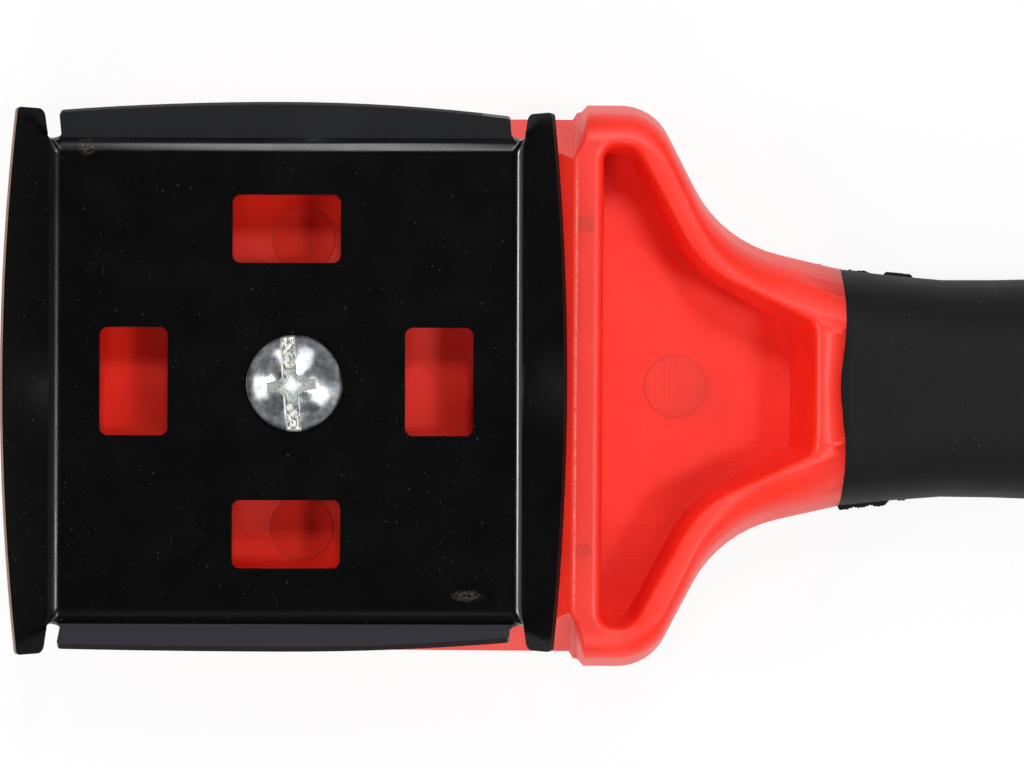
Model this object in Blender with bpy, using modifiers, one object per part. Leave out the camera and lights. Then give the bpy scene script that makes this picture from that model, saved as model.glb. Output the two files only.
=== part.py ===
"""Hand paint scraper with a square four-edge hook blade.

The scraper lies on its back with the blade up. X runs from the blade to the
handle's end, Y across the head, and Z out of the blade's face. Heights count
from the flat back, and every place along X counts from the screw's axis.
"""

import math

import bmesh
import bpy
import numpy as np
from mathutils import Vector

# Fits and cuts
CLEARANCE = 0.0003              # gap between pieces that seat on each other
OVERRUN = 0.003                 # how far a cutter passes the face it cuts
MERGE = 0.00001                 # points closer than this become one

# Blade
BLADE_SHEET = 0.0009
BLADE_SHIFT = -0.00095          # the blade's slack in X, as it was clamped
BLADE_SIDE = 0.0002             # and in Y
BLADE_TURN = math.radians(0.28)  # and how far it is turned
SIDE_BEND_X = 0.0257            # flat half width, up to the side bends
END_BEND_Y = 0.0260             # flat half length, up to the end bends
BEND_RADIUS = 0.0025            # at the middle of the sheet
SIDE_LIP = 0.0088               # sheet past the start of a side bend
END_LIP = 0.0076                # sheet past the start of an end bend
SIDE_LIP_ANGLE = math.radians(48)
TOP_LIP_ANGLE = math.radians(46)
BOTTOM_LIP_ANGLE = math.radians(64)
FRONT_EDGE_HALF = 0.0311        # half length of the front cutting edge
REAR_EDGE_HALF = 0.0306         # half length of the one by the neck
END_EDGE_HALF = 0.0256          # half length of a short cutting edge
SIDE_BOW = 0.0022               # how far a long edge bulges
TOP_FRONT_BOW = 0.0013          # how far a short edge falls off to its front
TOP_REAR_BOW = 0.0021           # and rear end
BOTTOM_FRONT_BOW = 0.0005
BOTTOM_REAR_BOW = 0.0022
LIP_CORNER = 0.0005
RELIEF_START = 0.0257           # inner wall of the corner reliefs
RELIEF_WIDTH = 0.0021           # at their round end
RELIEF_FLARE = 0.0006           # how much wider their mouths are
RELIEF_BACK = 0.0018            # how far they stop short of the flat sheet
RELIEF_CORNER = 0.0010
GROUND_BEVEL = 0.0004           # sheet ground off the outer side of an edge
WINDOW_LONG = 0.0124
WINDOW_SHORT = 0.0078
WINDOW_OFFSET = 0.0175          # window centre to blade centre
WINDOW_CORNER = 0.0009
BLADE_HOLE = 0.0076

# Screw and nut
SCREW_SHANK = 0.005
SCREW_HEAD = 0.0110
SCREW_DOME = 0.0027
SCREW_CHAMFER = 0.0006
SCREW_END_Z = 0.0008            # height of the screw's tip above the back
SLOT_WIDTH = 0.0016
SLOT_DEPTH = 0.0020
SLOT_TURN = math.radians(4.5)
SLOT_SHIFT = -0.0003            # the slot was sawn off the head's middle
CROSS_SPAN = 0.0062
CROSS_WIDTH = 0.0011
CROSS_DEPTH = 0.0030
CROSS_FOOT_SHARE = 0.35         # span at the foot of the cross recess
NUT_ACROSS = 0.008
NUT_HEIGHT = 0.004
NUT_CHAMFER = 0.0005
NUT_BACK_Z = 0.0022             # height of the nut's outer face above the back
HOLE_SLACK = 0.0006             # screw hole and nut bore over the shank

# Head of the body
HEAD_FRONT = -0.0285            # front wall, from the screw's axis
HEAD_HALF = 0.0313              # half width at the parting line
HEAD_CORNER = 0.012
PAD_Z = 0.020                   # height of the blade's seat
PARTING_Z = 0.0105
SIDE_SLOPE = 0.0053             # how far the sides lean in above the parting
BACK_SLOPE = 0.0030             # and below it
HEAD_EDGE = 0.0008              # rounding of the seat's long edges
HEAD_BACK_EDGE = 0.0040
PARTING_EDGE = 0.0008
FRONT_EDGE = 0.0012
RECESS_HALF_X = 0.0245
RECESS_HALF_Y = 0.0232
RECESS_CORNER = 0.0040
RECESS_DEPTH = 0.008
BOSS_DIAMETER = 0.0190
RIB_THICKNESS = 0.0022
RIB_DROP = 0.0015               # rib tops lie this far under the seat

# Shoulder groove between the seat and the neck's ridge
GROOVE_START = 0.0278
GROOVE_WALL = 0.0304
RIDGE_START = 0.0318
GROOVE_DEPTH = 0.0012

# Neck
RIDGE_STEP = 0.0017             # how far the neck stands out past the head
RIDGE_RUN = 0.0017              # length over which it gets there
STEP_SHARES = ((0.3, 0.5), (0.6, 0.55))
LOBE_X = 0.0412                 # corner of the neck's lobe, before rounding
LOBE_RADIUS = 0.008
LOBE_SLOPE = 0.0020             # lean of the lobes' sides
LOBE_EDGE = 0.0036
LOBE_PARTING_EDGE = 0.0025
THROAT_X = 0.0494
THROAT_HALF = 0.0172
THROAT_RADIUS = 0.016
RIDGE_WALL = 0.0035             # ridge between the shoulder and the pocket
LOBE_RIM = 0.0054               # rim of the pocket across the lobes
LOBE_RIM_X = 0.0023
THROAT_RIM = 0.0037
THROAT_RIM_X = 0.0030
END_RIM = 0.0072
END_RIM_X = 0.0035
POCKET_CORNER = 0.0016
POCKET_LOBE_RADIUS = 0.0026
POCKET_THROAT_RADIUS = 0.012
POCKET_FLOOR_Z = 0.0062
POCKET_DRAFT = math.radians(3)
POCKET_FOOT = 0.0006            # rounding along the floor
POCKET_LIP = 0.0011             # rounding along the rim

# Grip and butt
GRIP_START = 0.0630
GRIP_END = 0.1820
BUTT_LENGTH = 0.0150            # bare plastic past the rubber
GRIP_START_HALF = 0.0146
WAIST_X = 0.0760
WAIST_HALF = 0.0138
PALM_SWELL = 0.0017             # extra half width at the palm
PALM_RISE = 0.0024              # extra height at the palm
BUTT_SWELL = 0.0008
GRIP_LIFT = 0.0015              # how far the grip's top rises over the seat
GRIP_SLOPE = 0.0043
GRIP_EDGE = 0.0085
GRIP_PARTING_EDGE = 0.0145
BUTT_CORNER = 0.0085
RUBBER = 0.0026
TONGUE_TIP = 0.0430
TONGUE_HALF = 0.0085
TONGUE_DEPTH = 0.0018
HANG_HOLE = 0.0080
HANG_SETBACK = 0.0085           # hole's middle to the handle's end

# Fineness of the curved forms
FILLET_STEPS = 6
BOW_STEPS = 8
BEND_STEPS = 5
TURN_STEPS = 40
DOME_STEPS = 7
GRIP_STEPS = 20

# Heights and places that follow from the sizes above
RIDGE_HALF = HEAD_HALF + RIDGE_STEP
RIDGE_FULL = RIDGE_START + RIDGE_RUN
POCKET_START = RIDGE_START + RIDGE_WALL
POCKET_END = GRIP_START - END_RIM_X
BUTT_END = GRIP_END + BUTT_LENGTH
HANG_HOLE_X = BUTT_END - HANG_SETBACK
GRIP_TOP_Z = PAD_Z + GRIP_LIFT
BLADE_Z = PAD_Z + CLEARANCE + BLADE_SHEET / 2
SCREW_SEAT_Z = PAD_Z + CLEARANCE + BLADE_SHEET + CLEARANCE
NUT_TOP_Z = NUT_BACK_Z + NUT_HEIGHT
BORE_RADIUS = (SCREW_SHANK + HOLE_SLACK) / 2


def clear_scene():
    for old in list(bpy.data.objects):
        bpy.data.objects.remove(old, do_unlink=True)


def new_collection(name):
    group = bpy.data.collections.new(name)
    bpy.context.scene.collection.children.link(group)
    return group


def place(obj, group, parent, location=(0, 0, 0)):
    group.objects.link(obj)
    obj.parent = parent
    obj.location = location
    return obj


def paint(obj, name, color, roughness, metallic=0.0):
    material = bpy.data.materials.new(name)
    material.use_nodes = True
    shader = material.node_tree.nodes["Principled BSDF"]
    shader.inputs["Base Color"].default_value = (*color, 1.0)
    shader.inputs["Roughness"].default_value = roughness
    shader.inputs["Metallic"].default_value = metallic
    obj.data.materials.append(material)


def shade(obj, angle=math.radians(35)):
    obj.data.shade_smooth()
    obj.data.set_sharp_from_angle(angle=angle)


def boolean(obj, tool, operation="DIFFERENCE"):
    cut = obj.modifiers.new(operation.lower() + "_" + tool.name, "BOOLEAN")
    cut.operation = operation
    cut.solver = "EXACT"
    cut.object = tool
    return obj


# Outlines and lofts

def fillet(before, corner, after, radius, steps=FILLET_STEPS):
    """Points of the arc that rounds one corner of a plane outline."""
    if radius == 0:
        return [corner]
    inward = (before - corner).normalized()
    outward = (after - corner).normalized()
    half_angle = inward.angle(outward) / 2
    reach = min((before - corner).length, (after - corner).length) * 0.49
    tangent = min(radius / math.tan(half_angle), reach)
    radius = tangent * math.tan(half_angle)
    centre = corner + (inward + outward).normalized() * (radius / math.sin(half_angle))
    first = corner + inward * tangent - centre
    last = corner + outward * tangent - centre
    sweep = first.angle_signed(last)
    points = []
    for step in range(steps):
        angle = -sweep * step / (steps - 1)
        turned = Vector((first.x * math.cos(angle) - first.y * math.sin(angle),
                         first.x * math.sin(angle) + first.y * math.cos(angle)))
        points.append(centre + turned)
    return points


def rounded_loop(corners, steps=FILLET_STEPS):
    """Closed outline from (x, y, radius) corners."""
    flat = [Vector(corner[:2]) for corner in corners]
    points = []
    for index, corner in enumerate(corners):
        after = flat[(index + 1) % len(flat)]
        points += fillet(flat[index - 1], flat[index], after, corner[2], steps)
    return points


def rounded_path(corners, steps=FILLET_STEPS):
    """Open outline from (x, y, radius) corners."""
    flat = [Vector(corner[:2]) for corner in corners]
    points = [flat[0]]
    for index in range(1, len(flat) - 1):
        points += fillet(flat[index - 1], flat[index], flat[index + 1], corners[index][2], steps)
    return points + [flat[-1]]


def offset_loop(points, distance):
    """A counterclockwise outline moved inwards by a distance."""
    moved = []
    for index, point in enumerate(points):
        before = (point - points[index - 1]).normalized()
        after = (points[(index + 1) % len(points)] - point).normalized()
        along = (before + after).normalized()
        moved.append(point + Vector((-along.y, along.x)) * distance)
    return moved


def loft(name, rings):
    """Closed skin over rings that hold equally many points."""
    mesh = bmesh.new()
    loops = [[mesh.verts.new(point) for point in ring] for ring in rings]
    count = len(loops[0])
    for lower, upper in zip(loops, loops[1:]):
        for index in range(count):
            after = (index + 1) % count
            mesh.faces.new((lower[index], lower[after], upper[after], upper[index]))
    mesh.faces.new(list(reversed(loops[0])))
    mesh.faces.new(loops[-1])
    bmesh.ops.remove_doubles(mesh, verts=mesh.verts, dist=MERGE)
    bmesh.ops.recalc_face_normals(mesh, faces=mesh.faces)
    data = bpy.data.meshes.new(name)
    mesh.to_mesh(data)
    mesh.free()
    return bpy.data.objects.new(name, data)


def upright(outline, z):
    return [(point.x, point.y, z) for point in outline]


def plate(name, outlines, low, high):
    """Flat outlines, holes included, as a sheet between two heights."""
    curve = bpy.data.curves.new(name, "CURVE")
    curve.dimensions = "2D"
    curve.fill_mode = "BOTH"
    curve.extrude = (high - low) / 2
    for outline in outlines:
        spline = curve.splines.new("POLY")
        spline.points.add(len(outline) - 1)
        for knot, point in zip(spline.points, outline):
            knot.co = (point.x, point.y, 0, 1)
        spline.use_cyclic_u = True
    guide = bpy.data.objects.new(name, curve)
    bpy.context.scene.collection.objects.link(guide)
    graph = bpy.context.evaluated_depsgraph_get()
    data = bpy.data.meshes.new_from_object(guide.evaluated_get(graph))
    bpy.data.objects.remove(guide, do_unlink=True)
    mesh = bmesh.new()
    mesh.from_mesh(data)
    bmesh.ops.remove_doubles(mesh, verts=mesh.verts, dist=MERGE)
    bmesh.ops.recalc_face_normals(mesh, faces=mesh.faces)
    bmesh.ops.translate(mesh, verts=mesh.verts, vec=(0, 0, (high + low) / 2))
    mesh.to_mesh(data)
    mesh.free()
    data.name = name
    return bpy.data.objects.new(name, data)


def rod(name, diameter, low, high, sides=TURN_STEPS):
    """Upright cylinder or prism, with two of its corners on the X axis."""
    mesh = bmesh.new()
    bmesh.ops.create_cone(mesh, cap_ends=True, segments=sides, radius1=diameter / 2,
                          radius2=diameter / 2, depth=high - low)
    bmesh.ops.translate(mesh, verts=mesh.verts, vec=(0, 0, (high + low) / 2))
    data = bpy.data.meshes.new(name)
    mesh.to_mesh(data)
    mesh.free()
    return bpy.data.objects.new(name, data)


def turned(name, profile):
    """Solid of revolution; the profile runs from the top down its outer side."""
    data = bpy.data.meshes.new(name)
    edges = [(index, index + 1) for index in range(len(profile) - 1)]
    data.from_pydata([(x, 0, z) for x, z in profile], edges, [])
    obj = bpy.data.objects.new(name, data)
    spin = obj.modifiers.new("spin", "SCREW")
    spin.axis = "Z"
    spin.steps = TURN_STEPS
    spin.render_steps = TURN_STEPS
    spin.use_merge_vertices = True
    spin.merge_threshold = MERGE
    return obj


# Plan and side views of the body

def body_plan():
    """Half the body's outline at the parting line, from the front to the grip."""
    steps = [(RIDGE_START + RIDGE_RUN * run, HEAD_HALF + RIDGE_STEP * rise, 0)
             for run, rise in STEP_SHARES]
    corners = [
        (HEAD_FRONT, 0, 0),
        (HEAD_FRONT, HEAD_HALF, HEAD_CORNER),
        (RIDGE_START, HEAD_HALF, 0),
        *steps,
        (RIDGE_FULL, RIDGE_HALF, 0),
        (LOBE_X, RIDGE_HALF, LOBE_RADIUS),
        (THROAT_X, THROAT_HALF, THROAT_RADIUS),
        (GRIP_START, GRIP_START_HALF, 0),
    ]
    return rounded_path(corners, steps=FILLET_STEPS + 3)[1:]


def ease(share):
    share = min(max(share, 0.0), 1.0)
    return share * share * (3 - 2 * share)


def swell(x):
    """One smooth bulge over the grip, nothing at its ends."""
    share = (x - WAIST_X) / (GRIP_END - WAIST_X)
    return math.sin(math.pi * min(max(share, 0.0), 1.0)) ** 2


def half_width(x, plan):
    if x <= GRIP_START:
        return float(np.interp(x, [p.x for p in plan], [p.y for p in plan]))
    waist = ease((x - GRIP_START) / (WAIST_X - GRIP_START))
    half = GRIP_START_HALF + (WAIST_HALF - GRIP_START_HALF) * waist
    half += PALM_SWELL * swell(x)
    return half + BUTT_SWELL * ease((x - WAIST_X) / (GRIP_END - WAIST_X))


def end_rounding(distance, radius):
    """How far a surface draws in at a distance from a rounded end."""
    if distance >= radius:
        return 0.0
    return radius - math.sqrt(max(radius ** 2 - (radius - distance) ** 2, 0.0))


def along(x, head, lobe, grip):
    """A size that changes at the ridge and again, slowly, towards the grip."""
    ridge = ease((x - RIDGE_START) / (RIDGE_FULL - RIDGE_START))
    handle = ease((x - LOBE_X) / (WAIST_X - LOBE_X))
    return head + (lobe - head) * ridge + (grip - lobe) * handle


def section(x, plan, inset=0.0):
    """Ring across the body: leaning sides that meet at the parting line."""
    lift = ease((x - POCKET_END) / (WAIST_X - POCKET_END))
    width_in = inset + end_rounding(BUTT_END - x, BUTT_CORNER)
    height_in = inset + end_rounding(x - HEAD_FRONT, FRONT_EDGE)
    height_in += end_rounding(BUTT_END - x, FRONT_EDGE * 2)
    half = half_width(x, plan) - width_in
    high = PAD_Z + GRIP_LIFT * lift + PALM_RISE * swell(x) - height_in
    top = half - along(x, SIDE_SLOPE, LOBE_SLOPE, GRIP_SLOPE)
    back = half - along(x, BACK_SLOPE, BACK_SLOPE, GRIP_SLOPE)
    edge = along(x, HEAD_EDGE, LOBE_EDGE, GRIP_EDGE)
    back_edge = along(x, HEAD_BACK_EDGE, LOBE_EDGE, GRIP_EDGE)
    parting = along(x, PARTING_EDGE, LOBE_PARTING_EDGE, GRIP_PARTING_EDGE)
    ring = rounded_loop([
        (back, height_in, back_edge),
        (half, PARTING_Z, parting),
        (top, high, edge),
        (-top, high, edge),
        (-half, PARTING_Z, parting),
        (-back, height_in, back_edge),
    ])
    return [(x, point.x, point.y) for point in ring]


def spread(start, end, steps):
    return [start + (end - start) * step / steps for step in range(steps + 1)]


def body_stations(plan):
    """Places along the head and neck where the outline needs a ring."""
    places = {round(point.x, 6) for point in plan}
    places |= {HEAD_FRONT + FRONT_EDGE * share for share in (0.0, 0.15, 0.5, 1.0)}
    return sorted(places)


def body_shell(plan):
    """Head, neck, slim tang under the rubber, and full-size butt."""
    tang = RUBBER + CLEARANCE
    rings = [section(x, plan) for x in body_stations(plan)]
    rings += [section(x, plan, tang) for x in spread(GRIP_START, GRIP_END, GRIP_STEPS)]
    butt = [BUTT_END - BUTT_CORNER * share for share in (1.0, 0.7, 0.45, 0.25, 0.1, 0.02, 0.0)]
    rings += [section(x, plan) for x in [GRIP_END] + butt]
    return loft("handle_body", rings)


# Cutters of the body

def pocket_outline():
    half = [
        (POCKET_START, RIDGE_HALF - LOBE_RIM, POCKET_CORNER),
        (LOBE_X - LOBE_RIM_X, RIDGE_HALF - LOBE_RIM, POCKET_LOBE_RADIUS),
        (THROAT_X - THROAT_RIM_X, THROAT_HALF - THROAT_RIM, POCKET_THROAT_RADIUS),
        (POCKET_END, GRIP_START_HALF - END_RIM, POCKET_CORNER),
    ]
    lower = [(x, -y, radius) for x, y, radius in half]
    return rounded_loop(lower + half[::-1], steps=FILLET_STEPS + 1)


def pocket_cutter():
    """Drafted neck pocket, rounded at its floor and along its rim."""
    outline = pocket_outline()
    rim = PAD_Z
    rings = []
    for share in (0.0, 0.3, 0.65, 1.0):
        height = POCKET_FLOOR_Z + POCKET_FOOT * share
        draft = (rim - height) * math.tan(POCKET_DRAFT)
        rings.append((height, draft + end_rounding(POCKET_FOOT * share, POCKET_FOOT)))
    for share in (0.0, 0.4, 0.7, 0.9, 1.0):
        height = rim - POCKET_LIP * (1 - share)
        rings.append((height, -end_rounding(POCKET_LIP * (1 - share), POCKET_LIP)))
    rings.append((GRIP_TOP_Z + OVERRUN, -POCKET_LIP))
    return loft("neck_pocket_cutter", [upright(offset_loop(outline, into), z) for z, into in rings])


def recess_cutter(group, parent):
    """Hollow under the blade, round the screw boss and its four ribs."""
    corners = [(x * RECESS_HALF_X, y * RECESS_HALF_Y, RECESS_CORNER)
               for x, y in ((-1, -1), (1, -1), (1, 1), (-1, 1))]
    floor = PAD_Z - RECESS_DEPTH
    cutter = place(plate("head_recess_cutter", [rounded_loop(corners)], floor, PAD_Z + OVERRUN),
                   group, parent)
    boss = rod("boss_core", BOSS_DIAMETER, floor - OVERRUN, PAD_Z + 2 * OVERRUN)
    boolean(cutter, place(boss, group, parent))
    for side in (-1, 1):
        reach = math.hypot(RECESS_HALF_X, RECESS_HALF_Y)
        rib_corners = [(x * reach, y * RIB_THICKNESS / 2, 0)
                       for x, y in ((-1, -1), (1, -1), (1, 1), (-1, 1))]
        rib = plate("rib_core", [rounded_loop(rib_corners)], floor - OVERRUN, PAD_Z - RIB_DROP)
        rib.rotation_euler.z = side * math.atan2(RECESS_HALF_Y, RECESS_HALF_X)
        boolean(cutter, place(rib, group, parent))
    return cutter


def groove_cutter():
    """Cross groove whose far wall slopes up to the neck's ridge."""
    reach = RIDGE_HALF + OVERRUN
    lean = (RIDGE_START - GROOVE_WALL) / GROOVE_DEPTH
    profile = [
        (GROOVE_START, PAD_Z + OVERRUN),
        (GROOVE_START, PAD_Z - GROOVE_DEPTH),
        (GROOVE_WALL, PAD_Z - GROOVE_DEPTH),
        (RIDGE_START + lean * OVERRUN, PAD_Z + OVERRUN),
    ]
    return loft("shoulder_groove_cutter", [[(x, y, z) for x, z in profile] for y in (-reach, reach)])


def tongue_outline(grow):
    root = GRIP_START + 4 * CLEARANCE + grow
    half = TONGUE_HALF + grow
    tip = TONGUE_TIP - grow
    return rounded_loop([(root, -half, 0), (root, half, 0), (tip, half, half), (tip, -half, half)],
                        steps=2 * FILLET_STEPS)


def cut_body(body, cutters, parent):
    nut_pocket = rod("nut_pocket_cutter", (NUT_ACROSS + 2 * CLEARANCE) / math.cos(math.pi / 6),
                     -OVERRUN, NUT_TOP_Z + CLEARANCE, sides=6)
    tongue_seat = plate("tongue_seat_cutter", [tongue_outline(CLEARANCE)],
                        -OVERRUN, TONGUE_DEPTH + CLEARANCE)
    hang_hole = rod("hang_hole_cutter", HANG_HOLE, -OVERRUN, GRIP_TOP_Z + PALM_RISE + OVERRUN)
    place(hang_hole, cutters, parent, (HANG_HOLE_X, 0, 0))
    boolean(body, hang_hole)
    tools = [pocket_cutter(), groove_cutter(), nut_pocket, tongue_seat,
             rod("screw_hole_cutter", 2 * BORE_RADIUS, -OVERRUN, PAD_Z + OVERRUN)]
    for tool in tools:
        boolean(body, place(tool, cutters, parent))
    boolean(body, recess_cutter(cutters, parent))


# The pieces

def make_handle_body(parts, cutters, parent, plan):
    body = place(body_shell(plan), parts, parent)
    cut_body(body, cutters, parent)
    shade(body)
    paint(body, "red_polypropylene", (0.90, 0.052, 0.036), 0.42)


def make_soft_grip(parts, cutters, parent, plan):
    start = GRIP_START + CLEARANCE
    end = GRIP_END - CLEARANCE
    skin = [section(x, plan) for x in spread(start, end, GRIP_STEPS)]
    sleeve = place(loft("soft_grip", skin), parts, parent)
    stations = [start - OVERRUN] + spread(start, end, GRIP_STEPS) + [end + OVERRUN]
    hollow = [[(x, y, z) for _, y, z in section(min(max(x, start), end), plan, RUBBER)]
              for x in stations]
    boolean(sleeve, place(loft("grip_hollow_cutter", hollow), cutters, parent))
    tongue = plate("tongue_core", [tongue_outline(0)], -OVERRUN, TONGUE_DEPTH)
    near = [x for x in body_stations(plan) if x > RIDGE_FULL]
    neck = loft("neck_core", [section(x, plan) for x in near + [GRIP_START + OVERRUN]])
    boolean(place(tongue, cutters, parent), place(neck, cutters, parent), "INTERSECT")
    boolean(sleeve, tongue, "UNION")
    shade(sleeve)
    paint(sleeve, "black_rubber", (0.018, 0.018, 0.018), 0.75)


def fold(distance, angle):
    """Run and rise of the sheet's middle, a distance past the start of a bend."""
    if distance <= 0:
        return distance, 0.0
    turn = min(distance / BEND_RADIUS, angle)
    straight = distance - BEND_RADIUS * turn
    run = BEND_RADIUS * math.sin(turn) + straight * math.cos(turn)
    rise = BEND_RADIUS * (1 - math.cos(turn)) + straight * math.sin(turn)
    return run, rise


def blade_surface(u, v):
    """Where a point of the flat blank's middle ends up in the formed blade."""
    side = abs(u) - SIDE_BEND_X
    end = abs(v) - END_BEND_Y
    run_x, rise_x = fold(side, SIDE_LIP_ANGLE)
    run_y, rise_y = fold(end, TOP_LIP_ANGLE if v > 0 else BOTTOM_LIP_ANGLE)
    hold = min(max(1 - side / (RELIEF_START + RELIEF_WIDTH - SIDE_BEND_X), 0.0), 1.0)
    x = math.copysign(SIDE_BEND_X + run_x, u)
    y = math.copysign(END_BEND_Y + end + (run_y - end) * hold, v)
    return Vector((x, y, rise_x + rise_y * hold))


def formed(u, v, height):
    """A point of the blank at a height from its middle, on the formed blade."""
    probe = BLADE_SHEET / 50
    along_u = blade_surface(u + probe, v) - blade_surface(u - probe, v)
    along_v = blade_surface(u, v + probe) - blade_surface(u, v - probe)
    return blade_surface(u, v) + along_u.cross(along_v).normalized() * height


def quarter_blank(edge_half, bow):
    """Corner of the flat blank, from the middle of a long edge to a short one."""
    side_tip = SIDE_BEND_X + SIDE_LIP
    end_tip = END_BEND_Y + END_LIP
    relief_end = END_BEND_Y + RELIEF_BACK
    mouth = RELIEF_START + RELIEF_WIDTH + RELIEF_FLARE
    long_edge = [(side_tip - SIDE_BOW * (step / BOW_STEPS) ** 2, edge_half * step / BOW_STEPS, 0)
                 for step in range(BOW_STEPS)]
    short_edge = [(END_EDGE_HALF * step / BOW_STEPS, end_tip - bow * (step / BOW_STEPS) ** 2, 0)
                  for step in range(BOW_STEPS)]
    corners = [
        (side_tip - SIDE_BOW, edge_half, LIP_CORNER),
        (mouth, edge_half, RELIEF_CORNER),
        (RELIEF_START + RELIEF_WIDTH, relief_end, RELIEF_WIDTH / 2),
        (RELIEF_START, relief_end, RELIEF_WIDTH / 2),
        (END_EDGE_HALF, end_tip - bow, LIP_CORNER),
    ]
    return long_edge + corners + short_edge[::-1]


def half_blank(edge_half, top_bow, bottom_bow):
    top = quarter_blank(edge_half, top_bow)
    bottom = [(x, -y, radius) for x, y, radius in quarter_blank(edge_half, bottom_bow)]
    return bottom[:0:-1] + top


def blank_outline():
    rear = half_blank(REAR_EDGE_HALF, TOP_REAR_BOW, BOTTOM_REAR_BOW)
    front = half_blank(FRONT_EDGE_HALF, TOP_FRONT_BOW, BOTTOM_FRONT_BOW)
    return rounded_loop(rear + [(-x, y, radius) for x, y, radius in front[-2:0:-1]])


def window_outline(x, y, width, height):
    corners = [(x + sx * width / 2, y + sy * height / 2, WINDOW_CORNER)
               for sx, sy in ((-1, -1), (1, -1), (1, 1), (-1, 1))]
    return rounded_loop(corners)


def blade_holes():
    holes = [window_outline(side * WINDOW_OFFSET, 0, WINDOW_SHORT, WINDOW_LONG) for side in (-1, 1)]
    holes += [window_outline(0, side * WINDOW_OFFSET, WINDOW_LONG, WINDOW_SHORT) for side in (-1, 1)]
    round_hole = [Vector((math.cos(turn), math.sin(turn))) * (BLADE_HOLE / 2)
                  for turn in spread(0, 2 * math.pi, TURN_STEPS)[:-1]]
    return holes + [round_hole]


def bend_lines():
    """Cuts across the blank, each a signed direction and a distance, where it bends."""
    bends = [
        (Vector((-1, 0, 0)), SIDE_BEND_X, SIDE_LIP_ANGLE),
        (Vector((1, 0, 0)), SIDE_BEND_X, SIDE_LIP_ANGLE),
        (Vector((0, 1, 0)), END_BEND_Y, TOP_LIP_ANGLE),
        (Vector((0, -1, 0)), END_BEND_Y, BOTTOM_LIP_ANGLE),
    ]
    lines = []
    for direction, start, angle in bends:
        for distance in spread(start, start + BEND_RADIUS * angle, BEND_STEPS):
            lines.append((direction, distance))
    return lines


def make_blade(parts, parent):
    blank = plate("blade", [blank_outline()] + blade_holes(), -BLADE_SHEET / 2, BLADE_SHEET / 2)
    mesh = bmesh.new()
    mesh.from_mesh(blank.data)
    for direction, distance in bend_lines():
        geometry = mesh.verts[:] + mesh.edges[:] + mesh.faces[:]
        bmesh.ops.bisect_plane(mesh, geom=geometry, dist=MERGE, plane_co=direction * distance,
                               plane_no=direction)
    bmesh.ops.triangulate(mesh, faces=mesh.faces)
    side_edge = SIDE_BEND_X + SIDE_LIP - SIDE_BOW - LIP_CORNER
    end_edge = END_BEND_Y + END_LIP - max(TOP_REAR_BOW, BOTTOM_REAR_BOW) - LIP_CORNER
    for vert in mesh.verts:
        u, v, height = vert.co
        if height < 0 and abs(u) > side_edge:
            u -= math.copysign(GROUND_BEVEL, u)
        if height < 0 and abs(v) > end_edge and abs(u) < SIDE_BEND_X:
            v -= math.copysign(GROUND_BEVEL, v)
        vert.co = formed(u, v, height)
    mesh.to_mesh(blank.data)
    mesh.free()
    blade = place(blank, parts, parent, (BLADE_SHIFT, BLADE_SIDE, BLADE_Z))
    blade.rotation_euler.z = BLADE_TURN
    shade(blade)
    paint(blade, "black_lacquered_steel", (0.006, 0.006, 0.007), 0.25)


def tapered_arm(name, turn):
    """One arm of the cross recess, shorter and thinner at its foot."""
    top = SCREW_DOME + OVERRUN
    foot = SCREW_DOME - CROSS_DEPTH
    rings = []
    for height, scale in ((foot, CROSS_FOOT_SHARE), (SCREW_DOME, 1.0), (top, 1.0)):
        span = CROSS_SPAN / 2 * scale
        width = CROSS_WIDTH / 2 * (1 + scale) / 2
        ring = [(span, width), (-span, width), (-span, -width), (span, -width)]
        rings.append([(x, y, height) for x, y in ring[::-1]])
    arm = loft(name, rings)
    arm.rotation_euler.z = turn
    return arm


def make_screw(parts, cutters, parent):
    radius = SCREW_HEAD / 2
    dome_radius = (radius ** 2 + SCREW_DOME ** 2) / (2 * SCREW_DOME)
    rim_angle = math.asin(radius / dome_radius)
    profile = []
    for angle in spread(0, rim_angle, DOME_STEPS):
        profile.append((dome_radius * math.sin(angle),
                        SCREW_DOME - dome_radius * (1 - math.cos(angle))))
    length = SCREW_SEAT_Z - SCREW_END_Z
    profile[-1] = (radius, SCREW_CHAMFER / 2)
    profile += [
        (radius - SCREW_CHAMFER / 2, 0),
        (SCREW_SHANK / 2, 0),
        (SCREW_SHANK / 2, SCREW_CHAMFER - length),
        (SCREW_SHANK / 2 - SCREW_CHAMFER, -length),
        (0, -length),
    ]
    seat = (0, 0, SCREW_SEAT_Z)
    screw = place(turned("blade_screw", profile), parts, parent, seat)
    slot_corners = [(x * SLOT_WIDTH / 2, y * SCREW_HEAD, 0)
                    for x, y in ((-1, -1), (1, -1), (1, 1), (-1, 1))]
    slot = plate("slot_cutter", [rounded_loop(slot_corners)], SCREW_DOME - SLOT_DEPTH,
                 SCREW_DOME + OVERRUN)
    slot.rotation_euler.z = SLOT_TURN
    boolean(screw, place(slot, cutters, parent, (SLOT_SHIFT, 0, SCREW_SEAT_Z)))
    for index in range(2):
        arm = tapered_arm("cross_cutter", SLOT_TURN + index * math.pi / 2)
        boolean(screw, place(arm, cutters, parent, seat))
    shade(screw)
    paint(screw, "zinc_plated_steel", (0.62, 0.64, 0.66), 0.28, 1.0)


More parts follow.
